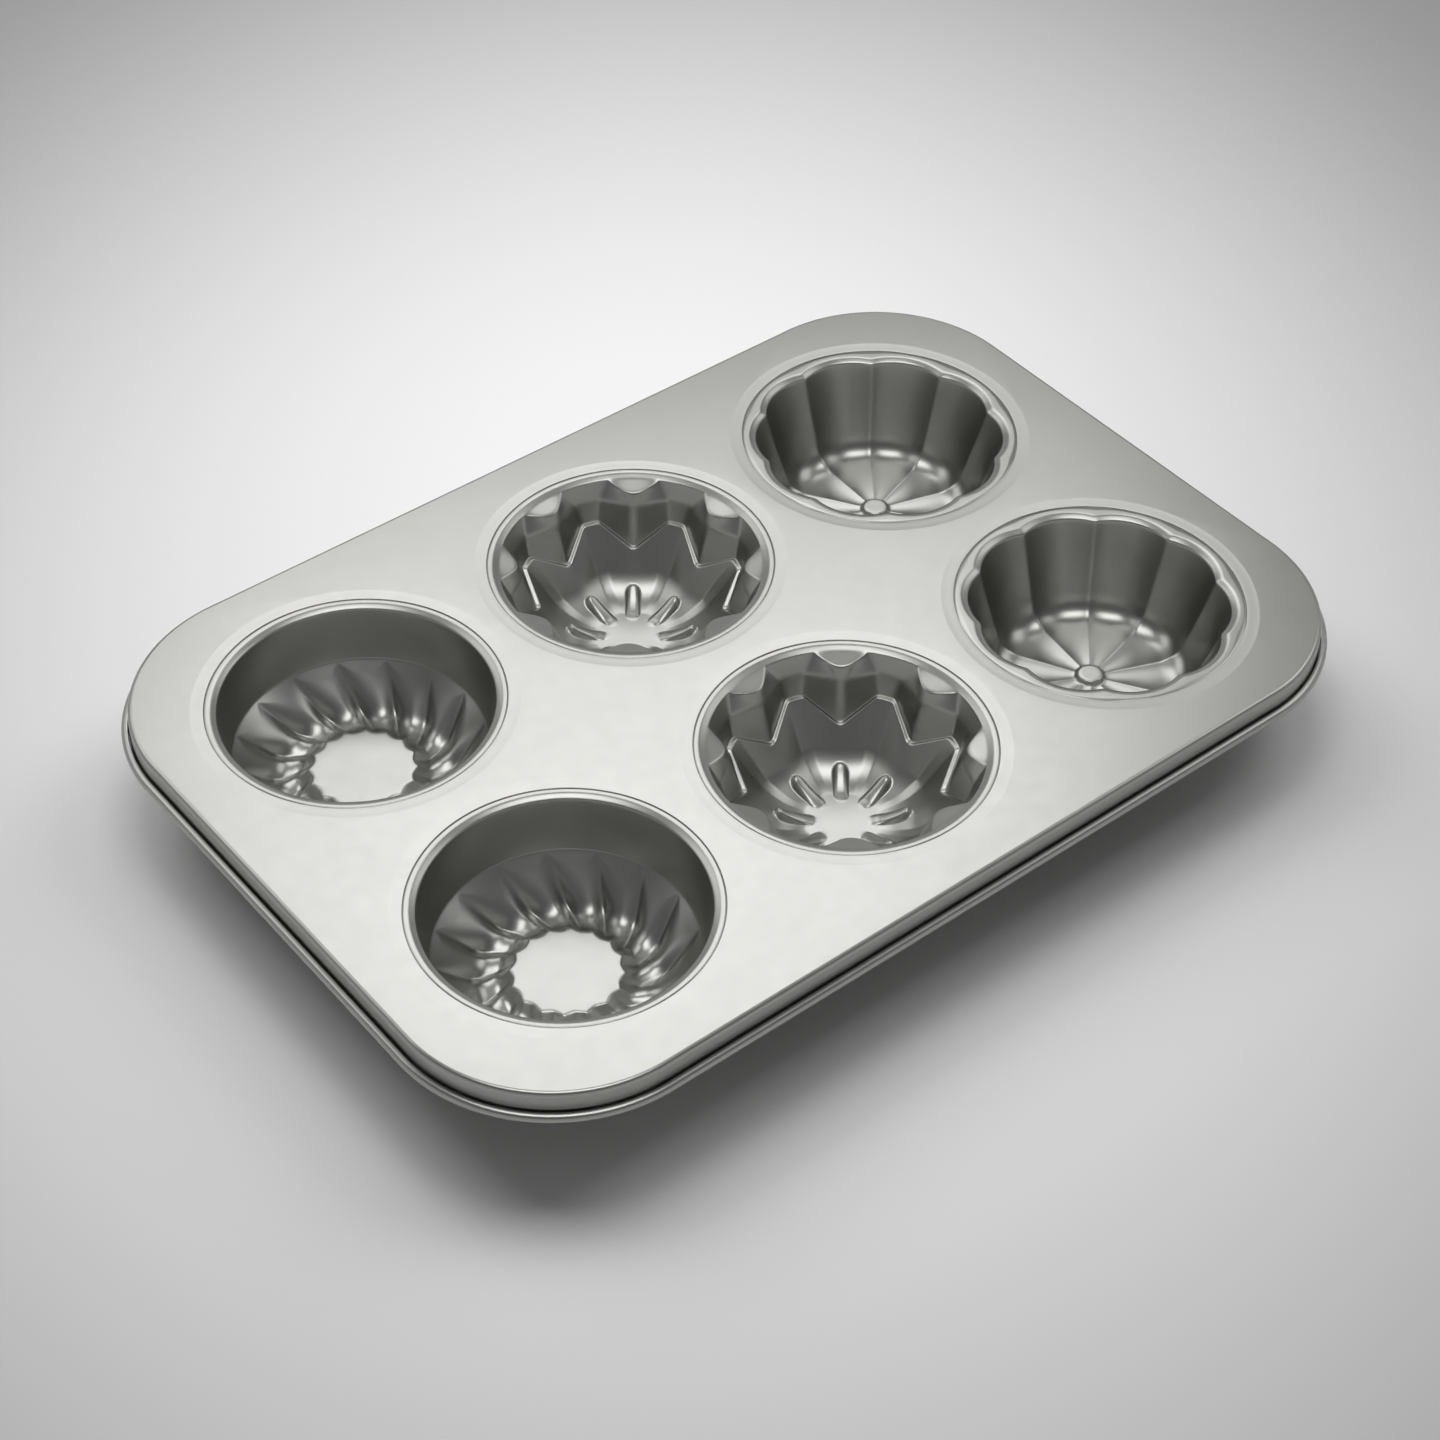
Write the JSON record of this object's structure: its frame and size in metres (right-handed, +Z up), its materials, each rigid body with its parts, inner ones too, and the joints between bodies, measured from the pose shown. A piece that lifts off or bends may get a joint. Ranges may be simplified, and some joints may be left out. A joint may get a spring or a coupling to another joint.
{
  "type": "muffin pan",
  "caption": "Shallow rectangular baking pan with rounded corners and a wired rim, holding deep pressed cups in swirl, star and flower patterns for small cakes.",
  "frame": {"origin": "middle of the pan, on the surface that its cups stand on", "axes": "+X along the pan's length, from the swirl cups to the flower cups; +Y across it, from the front row to the back row; +Z up, out of the cups' mouths"},
  "size_m": [0.2748, 0.1928, 0.027],
  "materials": {
    "frame_coating": "pale grey metallic non-stick coating, satin sheen, on pressed steel sheet",
    "cup_coating": "pale grey metallic non-stick coating, semi-gloss, on deep-drawn steel sheet",
    "wire_steel": "plain drawn steel wire, hidden in the rolled edge"
  },
  "bodies": {
    "root": {"frame_sheet": "frame_coating", "rim_wire": "wire_steel", "swirl_cup_front": "cup_coating", "swirl_cup_back": "cup_coating", "star_cup_front": "cup_coating", "star_cup_back": "cup_coating", "flower_cup_front": "cup_coating", "flower_cup_back": "cup_coating"}
  },
  "joints": []
}
